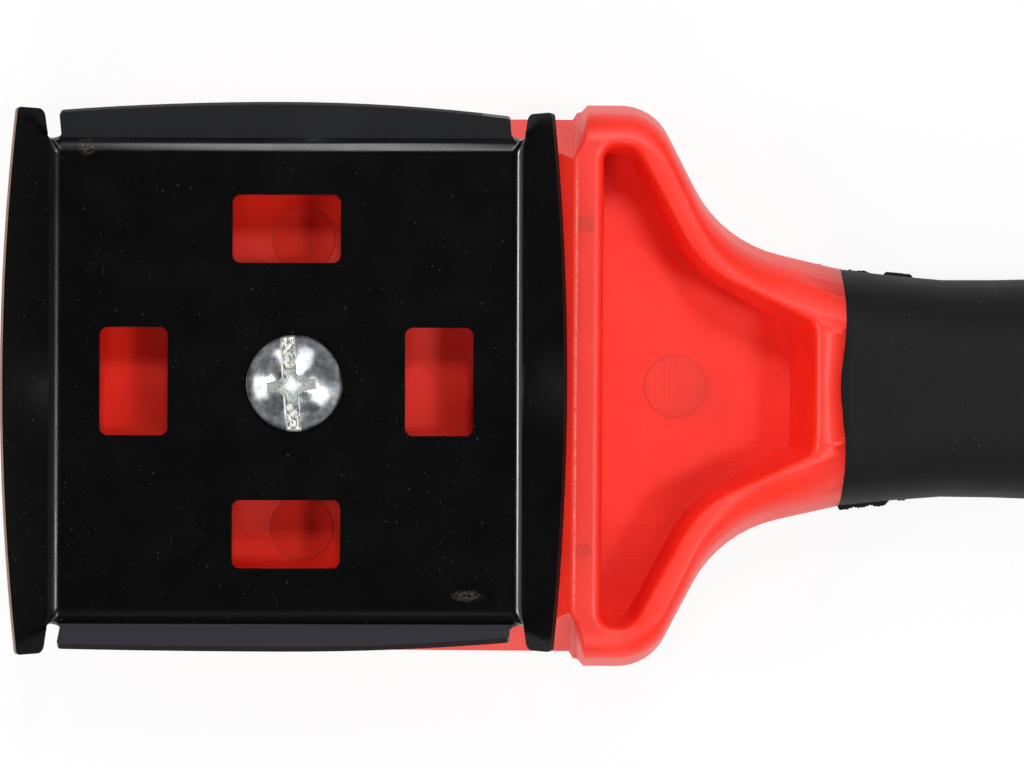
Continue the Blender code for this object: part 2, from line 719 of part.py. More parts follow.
def make_nut(parts, cutters, parent):
    corner = NUT_ACROSS / 2 / math.cos(math.pi / 6)
    base = (0, 0, NUT_BACK_Z)
    nut = place(rod("lock_nut", 2 * corner, 0, NUT_HEIGHT, sides=6), parts, parent, base)
    face = corner - NUT_CHAMFER * math.sqrt(3)
    chamfer = turned("nut_chamfer_core", [(0, NUT_HEIGHT), (face, NUT_HEIGHT),
                                          (corner, NUT_HEIGHT - NUT_CHAMFER),
                                          (corner, NUT_CHAMFER), (face, 0), (0, 0)])
    boolean(nut, place(chamfer, cutters, parent, base), "INTERSECT")
    bore = rod("nut_bore_cutter", 2 * BORE_RADIUS, -OVERRUN, NUT_HEIGHT + OVERRUN)
    boolean(nut, place(bore, cutters, parent, base))
    shade(nut)
    paint(nut, "zinc_plated_nut", (0.55, 0.57, 0.60), 0.35, 1.0)


def main():
    clear_scene()
    parts = new_collection("hook_blade_scraper")
    cutters = new_collection("cutters")
    tip = formed(-SIDE_BEND_X - SIDE_LIP + GROUND_BEVEL, 0, -BLADE_SHEET / 2)
    frame = place(bpy.data.objects.new("scraper_frame", None), parts, None)
    frame.location.x = -(BLADE_SHIFT + tip.x + BUTT_END) / 2
    plan = body_plan()
    make_handle_body(parts, cutters, frame, plan)
    make_soft_grip(parts, cutters, frame, plan)
    make_blade(parts, frame)
    make_screw(parts, cutters, frame)
    make_nut(parts, cutters, frame)
    for cutter in cutters.objects:
        cutter.hide_render = True
        cutter.display_type = "WIRE"


main()
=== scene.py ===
import math
import random

import bmesh
import bpy
from mathutils import Matrix, Vector, noise
from mathutils.bvhtree import BVHTree
from mathutils.kdtree import KDTree


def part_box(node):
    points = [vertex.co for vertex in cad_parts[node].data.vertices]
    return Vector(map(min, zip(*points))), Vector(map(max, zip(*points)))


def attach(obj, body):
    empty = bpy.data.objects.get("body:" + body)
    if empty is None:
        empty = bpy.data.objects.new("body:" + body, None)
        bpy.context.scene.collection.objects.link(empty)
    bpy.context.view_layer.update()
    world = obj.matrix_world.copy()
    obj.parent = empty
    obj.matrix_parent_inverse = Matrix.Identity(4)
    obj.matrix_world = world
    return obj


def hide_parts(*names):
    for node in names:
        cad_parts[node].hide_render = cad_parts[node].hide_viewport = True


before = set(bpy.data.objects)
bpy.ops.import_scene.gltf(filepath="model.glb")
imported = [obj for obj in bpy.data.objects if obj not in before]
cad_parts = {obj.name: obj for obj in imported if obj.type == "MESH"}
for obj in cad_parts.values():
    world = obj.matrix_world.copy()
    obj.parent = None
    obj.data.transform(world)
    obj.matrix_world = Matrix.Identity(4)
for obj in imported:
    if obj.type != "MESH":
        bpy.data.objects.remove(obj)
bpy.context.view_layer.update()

mm = 0.001
screwLow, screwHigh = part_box("blade_screw")
screwX = (screwLow.x + screwHigh.x) / 2
screwTop = screwHigh.z
bladeLow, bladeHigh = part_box("blade")
bladeX = (bladeLow.x + bladeHigh.x) / 2
sheetBack = bladeLow.z
print("frame loaded, screw axis at", round(screwX / mm, 2), "mm")


# Small helpers

meshCare = {"weld": 0.002 * mm, "flatAngle": 0.3, "sharpAngle": 32, "flatWeight": 100}


def linear(hexColour):
    parts = [int(hexColour[i:i + 2], 16) / 255 for i in (1, 3, 5)]
    return tuple(c / 12.92 if c < 0.04045 else ((c + 0.055) / 1.055) ** 2.4 for c in parts) + (1.0,)


def setInputs(tree, node, inputs):
    for key, value in inputs.items():
        if isinstance(value, bpy.types.NodeSocket):
            tree.links.new(value, node.inputs[key])
        else:
            node.inputs[key].default_value = value


def addNode(tree, kind, inputs=None, **settings):
    made = tree.nodes.new(kind)
    for key, value in settings.items():
        setattr(made, key, value)
    setInputs(tree, made, inputs or {})
    return made


def startMaterial(name):
    material = bpy.data.materials.new(name)
    material.use_nodes = True
    tree = material.node_tree
    return material, tree, tree.nodes["Principled BSDF"]


def clamp(value):
    return min(max(value, 0.0), 1.0)


def meshOf(data):
    mesh = bmesh.new()
    mesh.from_mesh(data)
    return mesh


def putBack(mesh, piece):
    mesh.to_mesh(piece.data)
    mesh.free()


def vertsOf(geometry):
    return [item for item in geometry if isinstance(item, bmesh.types.BMVert)]


def settle(mesh):
    # extrude, spin and bevel leave their faces in an order of chance, so they are sorted by place
    slope = Vector((1.0, 0.731, 0.417))
    mesh.verts.sort(key=lambda vert: vert.co.dot(slope))
    mesh.edges.sort(key=lambda edge: sum(vert.co.dot(slope) for vert in edge.verts))
    mesh.faces.sort(key=lambda face: sum(vert.co.dot(slope) for vert in face.verts) / len(face.verts))


def newPiece(name, mesh):
    piece = bpy.data.objects.new(name, bpy.data.meshes.new(name))
    putBack(mesh, piece)
    bpy.context.scene.collection.objects.link(piece)
    return piece


def mergedCopy(node, name):
    # a node's loose triangles, merged and with its flat faces made whole
    mesh = meshOf(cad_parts[node].data)
    bmesh.ops.remove_doubles(mesh, verts=mesh.verts, dist=meshCare["weld"])
    bmesh.ops.dissolve_limit(mesh, angle_limit=math.radians(meshCare["flatAngle"]), verts=mesh.verts,
                             edges=mesh.edges)
    for layer in list(mesh.loops.layers.uv):
        mesh.loops.layers.uv.remove(layer)
    return newPiece(name, mesh)


def addFinishes(piece, *finishes):
    for finish in finishes:
        piece.data.materials.append(finish)


def smoothShade(piece, sharpAngle=meshCare["sharpAngle"]):
    piece.data.shade_smooth()
    piece.data.set_sharp_from_angle(angle=math.radians(sharpAngle))


def keepFlats(piece):
    weigh = piece.modifiers.new("flat faces keep their normals", "WEIGHTED_NORMAL")
    weigh.keep_sharp = True
    weigh.weight = meshCare["flatWeight"]


def handOver(piece, body, slot, *nodes):
    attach(piece, body)
    if nodes:
        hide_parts(*nodes)


# Finishes

redLook = {
    "lit": "#FA2D1A", "deep": "#F22712", "bloom": "#FF7A6C", "line": "#D81A0A", "crease": "#A81208",
    "blotch": 6.0 * mm, "peel": 1.1 * mm, "grain": 0.22 * mm, "dust": 0.5 * mm,
    "blotchFrom": 0.35, "blotchTo": 0.65, "dustFrom": 0.74, "dustTo": 0.79, "dustShare": 0.35,
    "ringShadeShare": 0.75, "roughFrom": 0.34, "roughTo": 0.5, "bumpShare": 0.35, "bumpDepth": 0.02 * mm,
    "ior": 1.49, "glow": 3.5 * mm, "glowShare": 0.45, "glowReach": (1.0, 0.15, 0.08),
    # cutter lines of the mould, in its floors
    "lineGap": mm / 3.2, "lineLength": mm / 0.06, "lineBump": 2.5,
    "lineFrom": 0.3, "lineTo": 0.7, "lineShare": 0.14,
    # painted highlight: a pale line along the ridge's edge
    "ridgeHighlight": "#FFA396", "ridgeHighlightX": 32.2 * mm, "ridgeHighlightWide": 0.2 * mm, "ridgeHighlightHalf": 27.0 * mm,
    "ridgeHighlightFade": 4.0 * mm, "ridgeHighlightAbove": 19.0 * mm, "ridgeHighlightFrom": 0.3, "ridgeHighlightTo": 0.6,
    "ridgeHighlightLeast": 0.12, "ridgeHighlightMost": 0.55,
}
linesAlong = (1 / redLook["lineLength"], 1 / redLook["lineGap"], 1 / redLook["lineLength"])
linesAcross = (1 / redLook["lineGap"], 1 / redLook["lineLength"], 1 / redLook["lineLength"])


def ridgeHighlightShare(tree, place, dust):
    # painted highlight: a rough pale line along the ridge's rounded edge, broken up by the dust noise
    look = redLook
    centred = addNode(tree, "ShaderNodeMapping",
                      {"Vector": place, "Location": (-screwX - look["ridgeHighlightX"], 0, 0)})
    split = addNode(tree, "ShaderNodeSeparateXYZ", {0: centred.outputs[0]})
    off = addNode(tree, "ShaderNodeMath", {0: split.outputs[0]}, operation="ABSOLUTE")
    along = addNode(tree, "ShaderNodeMath", {0: split.outputs[1]}, operation="ABSOLUTE")
    near = addNode(tree, "ShaderNodeMapRange",
                   {"Value": off.outputs[0], "From Min": look["ridgeHighlightWide"], "From Max": look["ridgeHighlightWide"] / 3})
    short = addNode(tree, "ShaderNodeMapRange",
                    {"Value": along.outputs[0], "From Min": look["ridgeHighlightHalf"],
                     "From Max": look["ridgeHighlightHalf"] - look["ridgeHighlightFade"]})
    above = addNode(tree, "ShaderNodeMath", {0: split.outputs[2], 1: look["ridgeHighlightAbove"]},
                    operation="GREATER_THAN")
    broken = addNode(tree, "ShaderNodeMapRange",
                     {"Value": dust, "From Min": look["ridgeHighlightFrom"], "From Max": look["ridgeHighlightTo"],
                      "To Min": look["ridgeHighlightLeast"], "To Max": look["ridgeHighlightMost"]})
    share = near.outputs[0]
    for part in (short, above, broken):
        share = addNode(tree, "ShaderNodeMath", {0: share, 1: part.outputs[0]}, operation="MULTIPLY").outputs[0]
    return share


def redPolypropylene(name, lines=None, ringShaded=False, ridgeHighlit=False, shine=0.5):
    # injection moulded PP: satin, slightly mottled, with a faint orange peel and dust in it
    look = redLook
    material, tree, shader = startMaterial(name)
    place = addNode(tree, "ShaderNodeTexCoord").outputs["Object"]
    blotch = addNode(tree, "ShaderNodeTexNoise", {"Vector": place, "Scale": 1 / look["blotch"], "Detail": 3.0})
    peel = addNode(tree, "ShaderNodeTexNoise", {"Vector": place, "Scale": 1 / look["peel"], "Detail": 2.0})
    grain = addNode(tree, "ShaderNodeTexNoise", {"Vector": place, "Scale": 1 / look["grain"], "Detail": 2.0})
    dust = addNode(tree, "ShaderNodeTexNoise", {"Vector": place, "Scale": 1 / look["dust"], "Detail": 1.0})
    mottle = addNode(tree, "ShaderNodeMapRange",
                     {"Value": blotch.outputs[0], "From Min": look["blotchFrom"], "From Max": look["blotchTo"]},
                     interpolation_type="SMOOTHSTEP")
    colour = addNode(tree, "ShaderNodeMix",
                     {0: mottle.outputs[0], 6: linear(look["lit"]), 7: linear(look["deep"])},
                     data_type="RGBA").outputs[2]
    fleck = addNode(tree, "ShaderNodeMapRange",
                    {"Value": dust.outputs[0], "From Min": look["dustFrom"], "From Max": look["dustTo"],
                     "To Max": look["dustShare"]})
    colour = addNode(tree, "ShaderNodeMix", {0: fleck.outputs[0], 6: colour, 7: linear(look["bloom"])},
                     data_type="RGBA").outputs[2]
    height = addNode(tree, "ShaderNodeMath", {0: peel.outputs[0], 1: grain.outputs[0]},
                     operation="ADD").outputs[0]
    if lines:
        # the cutter lines are finer than this in the mould: they are drawn 0.3 mm apart so that they show
        stretch = addNode(tree, "ShaderNodeMapping", {"Vector": place, "Scale": lines})
        line = addNode(tree, "ShaderNodeTexNoise", {"Vector": stretch.outputs[0], "Scale": 1.0, "Detail": 3.0})
        height = addNode(tree, "ShaderNodeMath", {0: line.outputs[0], 1: look["lineBump"], 2: height},
                         operation="MULTIPLY_ADD").outputs[0]
        share = addNode(tree, "ShaderNodeMapRange",
                        {"Value": line.outputs[0], "From Min": look["lineFrom"], "From Max": look["lineTo"],
                         "To Max": look["lineShare"]})
        colour = addNode(tree, "ShaderNodeMix", {0: share.outputs[0], 6: colour, 7: linear(look["line"])},
                         data_type="RGBA").outputs[2]
    # painted shade: the sides of an ejector mark are darkened where its step would be shaded
    if ringShaded:
        colour = addNode(tree, "ShaderNodeMix", {0: look["ringShadeShare"], 6: colour, 7: linear(look["crease"])},
                         data_type="RGBA").outputs[2]
    # painted highlight along the ridge's rounded edge
    if ridgeHighlit:
        share = ridgeHighlightShare(tree, place, dust.outputs[0])
        colour = addNode(tree, "ShaderNodeMix", {0: share, 6: colour, 7: linear(look["ridgeHighlight"])},
                         data_type="RGBA").outputs[2]
    rough = addNode(tree, "ShaderNodeMapRange",
                    {"Value": grain.outputs[0], "To Min": look["roughFrom"], "To Max": look["roughTo"]})
    bump = addNode(tree, "ShaderNodeBump",
                   {"Height": height, "Strength": look["bumpShare"], "Distance": look["bumpDepth"]})
    setInputs(tree, shader, {
        "Base Color": colour, "Roughness": rough.outputs[0], "Normal": bump.outputs[0],
        "IOR": look["ior"], "Specular IOR Level": shine, "Subsurface Weight": look["glowShare"],
        "Subsurface Radius": look["glowReach"], "Subsurface Scale": look["glow"],
    })
    return material


rubberLook = {
    "base": "#0D0D0D", "worn": "#151514", "dust": "#56544F", "shade": "#030303",
    "blotch": 4.0 * mm, "grain": 0.16 * mm, "lint": 0.45 * mm,
    "lintFrom": 0.75, "lintTo": 0.8, "lintShare": 0.6, "roughFrom": 0.5, "roughTo": 0.68,
    "bumpShare": 0.4, "bumpDepth": 0.02 * mm, "shine": 0.14,
    "seam": 63.0 * mm, "shadeFrom": 0.35 * mm, "shadeTo": 0.75 * mm, "shadeShare": 0.55,
}


def overmouldedRubber():
    # thermoplastic rubber: dull, faintly cloudy, it holds lint and dust
    look = rubberLook
    material, tree, shader = startMaterial("overmoulded TPE rubber")
    place = addNode(tree, "ShaderNodeTexCoord").outputs["Object"]
    blotch = addNode(tree, "ShaderNodeTexNoise", {"Vector": place, "Scale": 1 / look["blotch"], "Detail": 4.0})
    grain = addNode(tree, "ShaderNodeTexNoise", {"Vector": place, "Scale": 1 / look["grain"], "Detail": 2.0})
    lint = addNode(tree, "ShaderNodeTexNoise", {"Vector": place, "Scale": 1 / look["lint"], "Detail": 1.0})
    colour = addNode(tree, "ShaderNodeMix",
                     {0: blotch.outputs[0], 6: linear(look["base"]), 7: linear(look["worn"])},
                     data_type="RGBA").outputs[2]
    fleck = addNode(tree, "ShaderNodeMapRange",
                    {"Value": lint.outputs[0], "From Min": look["lintFrom"], "From Max": look["lintTo"],
                     "To Max": look["lintShare"]})
    colour = addNode(tree, "ShaderNodeMix", {0: fleck.outputs[0], 6: colour, 7: linear(look["dust"])},
                     data_type="RGBA").outputs[2]
    # painted shade: a darker band in the rubber beside the seam
    split = addNode(tree, "ShaderNodeSeparateXYZ", {0: place})
    edge = screwX + look["seam"]
    seamShade = addNode(tree, "ShaderNodeMapRange",
                      {"Value": split.outputs[0], "From Min": edge + look["shadeTo"],
                       "From Max": edge + look["shadeFrom"], "To Max": look["shadeShare"]})
    colour = addNode(tree, "ShaderNodeMix", {0: seamShade.outputs[0], 6: colour, 7: linear(look["shade"])},
                     data_type="RGBA").outputs[2]
    rough = addNode(tree, "ShaderNodeMapRange",
                    {"Value": blotch.outputs[0], "To Min": look["roughFrom"], "To Max": look["roughTo"]})
    bump = addNode(tree, "ShaderNodeBump",
                   {"Height": grain.outputs[0], "Strength": look["bumpShare"], "Distance": look["bumpDepth"]})
    setInputs(tree, shader, {
        "Base Color": colour, "Roughness": rough.outputs[0], "Normal": bump.outputs[0],
        "Specular IOR Level": look["shine"],
    })
    return material


lacquerLook = {
    "dust": "#6E6B66", "scratch": "#2C2B2A", "smear": "#3E3833",
    "speck": 0.38 * mm, "cloud": 5.0 * mm, "crumb": 0.3 * mm, "hairGap": mm / 3.6, "hairLength": mm / 0.42,
    "speckFrom": 0.74, "speckTo": 0.82, "speckShare": 0.3, "hairFrom": 0.73, "hairTo": 0.82, "hairShare": 0.4,
    "crumbFrom": 0.42, "crumbTo": 0.6, "smearCore": 0.5,
    "cloudFrom": 0.35, "cloudTo": 0.7, "roughSpan": 0.06, "bumpShare": 0.1, "bumpDepth": 0.02 * mm,
    "smears": [  # ahead of the screw, across, half length, half width
        (19.9 * mm, -24.2 * mm, 2.1 * mm, 0.75 * mm),
        (-24.0 * mm, 26.9 * mm, 1.2 * mm, 1.1 * mm),
    ],
}


def blackLacquer(name, base, rough, shine=0.38):
    # black lacquer over rolled steel: glossy, with dust, hairline scratches and two dried smears
    look = lacquerLook
    material, tree, shader = startMaterial(name)
    place = addNode(tree, "ShaderNodeTexCoord").outputs["Object"]
    speck = addNode(tree, "ShaderNodeTexNoise", {"Vector": place, "Scale": 1 / look["speck"], "Detail": 1.0})
    cloud = addNode(tree, "ShaderNodeTexNoise", {"Vector": place, "Scale": 1 / look["cloud"], "Detail": 5.0})
    # scratches run across the tool, drawn 0.3 mm apart so that they show
    drawn = (1 / look["hairGap"], 1 / look["hairLength"], 1 / look["hairLength"])
    turned = addNode(tree, "ShaderNodeMapping", {"Vector": place, "Scale": drawn})
    hair = addNode(tree, "ShaderNodeTexNoise", {"Vector": turned.outputs[0], "Scale": 1.0, "Detail": 1.0})
    fleck = addNode(tree, "ShaderNodeMapRange",
                    {"Value": speck.outputs[0], "From Min": look["speckFrom"], "From Max": look["speckTo"],
                     "To Max": look["speckShare"]})
    mark = addNode(tree, "ShaderNodeMapRange",
                   {"Value": hair.outputs[0], "From Min": look["hairFrom"], "From Max": look["hairTo"],
                    "To Max": look["hairShare"]})
    colour = addNode(tree, "ShaderNodeMix", {0: mark.outputs[0], 6: linear(base), 7: linear(look["scratch"])},
                     data_type="RGBA").outputs[2]
    colour = addNode(tree, "ShaderNodeMix", {0: fleck.outputs[0], 6: colour, 7: linear(look["dust"])},
                     data_type="RGBA").outputs[2]
    crumb = addNode(tree, "ShaderNodeTexNoise", {"Vector": place, "Scale": 1 / look["crumb"], "Detail": 3.0})
    crumb = addNode(tree, "ShaderNodeMapRange",
                    {"Value": crumb.outputs[0], "From Min": look["crumbFrom"], "From Max": look["crumbTo"]})
    for alongX, acrossY, halfLong, halfWide in look["smears"]:
        centred = addNode(tree, "ShaderNodeMapping",
                          {"Vector": place, "Location": (-screwX - alongX, -acrossY, 0)})
        centred = addNode(tree, "ShaderNodeMapping",
                          {"Vector": centred.outputs[0], "Scale": (1 / halfLong, 1 / halfWide, 0)})
        reach = addNode(tree, "ShaderNodeVectorMath", {0: centred.outputs[0]}, operation="LENGTH")
        inside = addNode(tree, "ShaderNodeMapRange",
                         {"Value": reach.outputs["Value"], "From Min": 1.0, "From Max": look["smearCore"]})
        share = addNode(tree, "ShaderNodeMath", {0: inside.outputs[0], 1: crumb.outputs[0]},
                        operation="MULTIPLY")
        colour = addNode(tree, "ShaderNodeMix", {0: share.outputs[0], 6: colour, 7: linear(look["smear"])},
                         data_type="RGBA").outputs[2]
    gloss = addNode(tree, "ShaderNodeMapRange",
                    {"Value": cloud.outputs[0], "From Min": look["cloudFrom"], "From Max": look["cloudTo"],
                     "To Min": rough, "To Max": rough + look["roughSpan"]})
    bump = addNode(tree, "ShaderNodeBump",
                   {"Height": cloud.outputs[0], "Strength": look["bumpShare"], "Distance": look["bumpDepth"]})
    setInputs(tree, shader, {
        "Base Color": colour, "Roughness": gloss.outputs[0], "Normal": bump.outputs[0],
        "Specular IOR Level": shine,
    })
    return material


edgeLook = {"grit": 0.3 * mm, "roughFrom": 0.4, "roughTo": 0.6}


def groundSteel(name, dark, light, metallic):
    # bare ground cutting edge, browned where the lacquer stops
    look = edgeLook
    material, tree, shader = startMaterial(name)
    place = addNode(tree, "ShaderNodeTexCoord").outputs["Object"]
    grit = addNode(tree, "ShaderNodeTexNoise", {"Vector": place, "Scale": 1 / look["grit"], "Detail": 3.0})
    colour = addNode(tree, "ShaderNodeMix", {0: grit.outputs[0], 6: linear(dark), 7: linear(light)},
                     data_type="RGBA").outputs[2]
    rough = addNode(tree, "ShaderNodeMapRange",
                    {"Value": grit.outputs[0], "To Min": look["roughFrom"], "To Max": look["roughTo"]})
    setInputs(tree, shader, {
        "Base Color": colour, "Roughness": rough.outputs[0], "Metallic": metallic,
        "Specular IOR Level": metallic,
    })
    return material


zincLook = {
    "bright": "#E6E8E8", "blue": "#AFB8C3", "burr": "#F6F6F0", "blotch": 0.8 * mm, "grain": 0.12 * mm,
    "blotchFrom": 0.35, "blotchTo": 0.65, "roughFrom": 0.12, "roughTo": 0.3,
    "bumpShare": 0.3, "bumpDepth": 0.01 * mm,
    "slotWidth": 1.5 * mm, "slotShift": -0.3 * mm, "slotTurn": math.radians(4.5),
    "burrFrom": 0.06 * mm, "burrTo": 0.14 * mm, "burrWander": 0.16 * mm, "burrShare": 0.8, "burrRough": 0.35,
}


def zincPlate(name, burred):
    # passivated zinc plate: bluish, clouded where it was handled, pitted by the barrel
    look = zincLook
    material, tree, shader = startMaterial(name)
    place = addNode(tree, "ShaderNodeTexCoord").outputs["Object"]
    cloud = addNode(tree, "ShaderNodeTexNoise", {"Vector": place, "Scale": 1 / look["blotch"], "Detail": 5.0})
    grain = addNode(tree, "ShaderNodeTexNoise", {"Vector": place, "Scale": 1 / look["grain"], "Detail": 2.0})
    share = addNode(tree, "ShaderNodeMapRange",
                    {"Value": cloud.outputs[0], "From Min": look["blotchFrom"], "From Max": look["blotchTo"]})
    colour = addNode(tree, "ShaderNodeMix",
                     {0: share.outputs[0], 6: linear(look["blue"]), 7: linear(look["bright"])},
                     data_type="RGBA").outputs[2]
    rough = addNode(tree, "ShaderNodeMapRange",
                    {"Value": cloud.outputs[0], "To Min": look["roughFrom"],
                     "To Max": look["roughTo"]}).outputs[0]
    if burred:
        # a driver has thrown up bright metal along both sides of the slot
        centred = addNode(tree, "ShaderNodeMapping",
                          {"Vector": place, "Location": (-screwX - look["slotShift"], 0, 0)})
        turned = addNode(tree, "ShaderNodeMapping",
                         {"Vector": centred.outputs[0], "Rotation": (0, 0, -look["slotTurn"])})
        across = addNode(tree, "ShaderNodeSeparateXYZ", {0: turned.outputs[0]}).outputs[0]
        wander = addNode(tree, "ShaderNodeMath", {0: grain.outputs[0], 1: look["burrWander"], 2: across},
                         operation="MULTIPLY_ADD")
        across = addNode(tree, "ShaderNodeMath", {0: wander.outputs[0]}, operation="ABSOLUTE")
        slotHalf = look["slotWidth"] / 2
        burr = addNode(tree, "ShaderNodeMapRange",
                       {"Value": across.outputs[0], "From Min": slotHalf + look["burrTo"],
                        "From Max": slotHalf + look["burrFrom"], "To Max": look["burrShare"]}).outputs[0]
        colour = addNode(tree, "ShaderNodeMix", {0: burr, 6: colour, 7: linear(look["burr"])},
                         data_type="RGBA").outputs[2]
        rough = addNode(tree, "ShaderNodeMath", {0: burr, 1: look["burrRough"], 2: rough},
                        operation="MULTIPLY_ADD").outputs[0]
    bump = addNode(tree, "ShaderNodeBump",
                   {"Height": grain.outputs[0], "Strength": look["bumpShare"], "Distance": look["bumpDepth"]})
    setInputs(tree, shader, {
        "Base Color": colour, "Roughness": rough, "Normal": bump.outputs[0], "Metallic": 1.0,
    })
    return material


steelLook = {
    "grit": 0.22 * mm, "drawn": (1, 0.45, 1), "gritFrom": 0.4, "gritTo": 0.58, "bumpShare": 0.8, "rough": 0.5,
}


def bareSteel(name, dark, light, bumpDepth, metallic):
    # torn or pressed steel without its plating: dull grey to white, pitted
    look = steelLook
    material, tree, shader = startMaterial(name)
    place = addNode(tree, "ShaderNodeTexCoord").outputs["Object"]
    drawn = addNode(tree, "ShaderNodeMapping", {"Vector": place, "Scale": look["drawn"]})
    grit = addNode(tree, "ShaderNodeTexNoise",
                   {"Vector": drawn.outputs[0], "Scale": 1 / look["grit"], "Detail": 4.0})
    share = addNode(tree, "ShaderNodeMapRange",
                    {"Value": grit.outputs[0], "From Min": look["gritFrom"], "From Max": look["gritTo"]})
    colour = addNode(tree, "ShaderNodeMix", {0: share.outputs[0], 6: linear(dark), 7: linear(light)},
                     data_type="RGBA").outputs[2]
    bump = addNode(tree, "ShaderNodeBump",
                   {"Height": grit.outputs[0], "Strength": look["bumpShare"], "Distance": bumpDepth})
    setInputs(tree, shader, {
        "Base Color": colour, "Normal": bump.outputs[0], "Metallic": metallic, "Roughness": look["rough"],
    })
    return material


redSkin = redPolypropylene("moulded red polypropylene", ridgeHighlit=True)
redFloor = redPolypropylene("red polypropylene, cutter lines along", linesAlong, shine=0.4)
redRecess = redPolypropylene("red polypropylene, shaded recess floor", linesAlong, shine=0.22)
redDisc = redPolypropylene("red polypropylene, cutter lines across", linesAcross, shine=0.45)
shadedDisc = redPolypropylene("red polypropylene, shaded disc", linesAcross, shine=0.15)
redRingShade = redPolypropylene("red polypropylene, crease at an ejector pin", ringShaded=True)
rubber = overmouldedRubber()
lacquer = blackLacquer("gloss black lacquer on steel", "#060607", 0.13)
# painted reflection: the top and bottom lips get lighter lacquer for what they would reflect
topLipReflectionLacquer = blackLacquer("hazed black lacquer on steel", "#1C1D1F", 0.3)
dullLacquer = blackLacquer("dulled black lacquer on steel", "#060607", 0.2, 0.2)
unlitLacquer = blackLacquer("unlit black lacquer on steel", "#060607", 0.35, 0.05)
bottomLipReflectionLacquer = blackLacquer("greyed black lacquer on steel", "#413F47", 0.35)
frontEdge = groundSteel("ground steel edge", "#6A4636", "#AE8064", 0.5)
dullEdge = groundSteel("browned steel edge", "#0D0908", "#221714", 0.1)
zinc = zincPlate("blue passivated zinc plate", False)
burredZinc = zincPlate("zinc plate burred by a driver", True)
slotSteel = bareSteel("chewed bright steel", "#5F625E", "#F4F4EC", 0.05 * mm, 0.2)
recessSteel = bareSteel("pressed recess steel", "#B4BAB5", "#DADFDB", 0.01 * mm, 0.3)
starSteel = bareSteel("bright recess floor", "#E6E8E6", "#FFFFFF", 0.01 * mm, 0.1)
print("finishes made")


# Red body

body = {
    "floorHeight": 6.2 * mm, "recessFloor": 12.0 * mm, "onFloor": 0.1 * mm, "levelNormal": 0.99,
    # seam between plastic and rubber
    "gripStart": 63.0 * mm, "waveReach": 3.0 * mm, "waveShift": -0.06 * mm, "waveHeight": 0.3 * mm,
    "waveLength": 16.2 * mm, "waveTear": 0.07 * mm, "tearAcross": 1.3 * mm, "tearUp": 3.0 * mm,
    "seamRows": 14, "seamPitch": 0.5 * mm, "seamLean": 0.055, "seamTop": 21.0 * mm, "parting": 10.5 * mm,
    # pocket in the neck, along from the screw
    "pocketFrom": 33.0 * mm, "pocketTo": 60.0 * mm, "foot": 0.65 * mm, "footFlat": 0.02 * mm,
    "wallHalf": 28.5 * mm, "draftTo": 38.5 * mm, "draftBlend": 2.0 * mm, "draftCut": 0.6 * mm,
    "leanFrom": 53.0 * mm, "leanBlend": 3.0 * mm, "leanMore": 0.9 * mm, "sideCut": 0.5 * mm,
    # rim of the pocket and groove behind the blade
    "rimZ": 20.0 * mm, "rimRound": 1.1 * mm, "rimMargin": 2.0 * mm, "rimHalf": 28.0 * mm,
    "rimStep": 0.03 * mm, "rimFlat": 0.02 * mm, "rimBlend": 1.3 * mm, "rimWeld": 0.03 * mm,
    "rimSliver": 0.01 * mm, "grooveFrom": 28.5 * mm, "grooveTo": 31.7 * mm, "grooveHalf": 30.0 * mm,
    "grooveDepth": 1.4 * mm, "grooveShare": 0.35,
}


def boundaryWave(y, z):
    # how far the seam between plastic and rubber wanders along the handle, and leans away below
    wave = body["waveShift"] - body["waveHeight"] * math.cos(2 * math.pi * y / body["waveLength"])
    torn = Vector((0.4, y / body["tearAcross"], z / body["tearUp"]))
    wave += body["waveTear"] * noise.noise(torn)
    return wave + body["seamLean"] * min(max(body["seamTop"] - z, 0.0), body["seamTop"] - body["parting"])


def waveSeam(mesh, close=0.0, closeFrom=0.8):
    # bends the seam's edge, and moves it back by close so that no gap shows
    seam = screwX + body["gripStart"]
    reach = body["waveReach"]
    for row in range(-body["seamRows"], body["seamRows"] + 1):
        # rows of points across the seam's flat top, so that it can bend
        band = [face for face in mesh.faces if any(abs(vert.co.x - seam) < reach for vert in face.verts)]
        edges = {edge for face in band for edge in face.edges}
        verts = {vert for face in band for vert in face.verts}
        bmesh.ops.bisect_plane(mesh, geom=band + list(edges | verts), dist=0.001 * mm,
                               plane_co=(0, row * body["seamPitch"], 0), plane_no=(0, 1, 0))
    for vert in mesh.verts:
        share = max(1 - abs(vert.co.x - seam) / reach, 0.0)
        vert.co.x += boundaryWave(vert.co.y, vert.co.z) * share
        if share > closeFrom:
            vert.co.x -= close


def treeOf(spots):
    # finds the nearest of some points as they lie seen from above
    tree = KDTree(len(spots))
    for place, spot in enumerate(spots):
        tree.insert((spot.x, spot.y, 0), place)
    tree.balance()
    return tree


